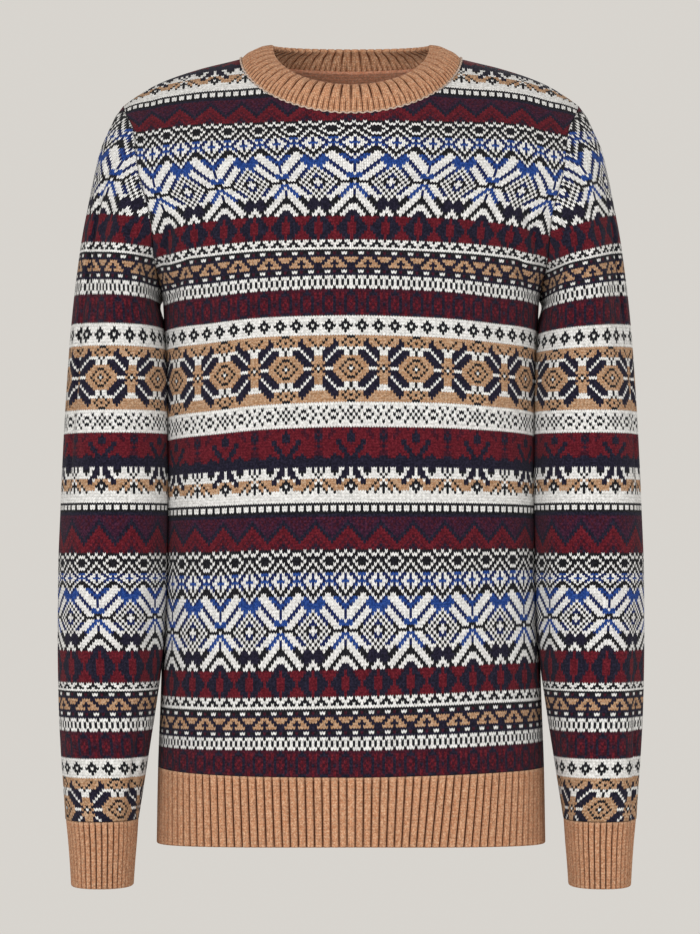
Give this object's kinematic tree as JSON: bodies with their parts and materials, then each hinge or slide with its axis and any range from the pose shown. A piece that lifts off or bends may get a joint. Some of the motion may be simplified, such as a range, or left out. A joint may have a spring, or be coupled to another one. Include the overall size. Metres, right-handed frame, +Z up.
{
  "type": "fair isle crew-neck jumper",
  "caption": "Hollow fair isle crew-neck jumper with long set-in sleeves, patterned bands all over, and plain ribbed neckband, hem and cuffs.",
  "frame": {"origin": "middle of the base of the neck, level with the shoulders, where the wearer holds the jumper up", "axes": "+Z up along the body, -Y the way the front faces, +X to the wearer's left"},
  "size_m": [0.514, 0.2278, 0.7445],
  "materials": {
    "pattern_knit": "wool stranded knit, matt",
    "camel_rib": "wool rib knit, matt"
  },
  "bodies": {
    "root": {"front_panel": "pattern_knit", "back_panel": "pattern_knit", "front_hem_rib": "camel_rib", "back_hem_rib": "camel_rib", "left_sleeve": "pattern_knit", "right_sleeve": "pattern_knit", "left_cuff": "camel_rib", "right_cuff": "camel_rib", "neckband": "camel_rib"}
  },
  "joints": []
}
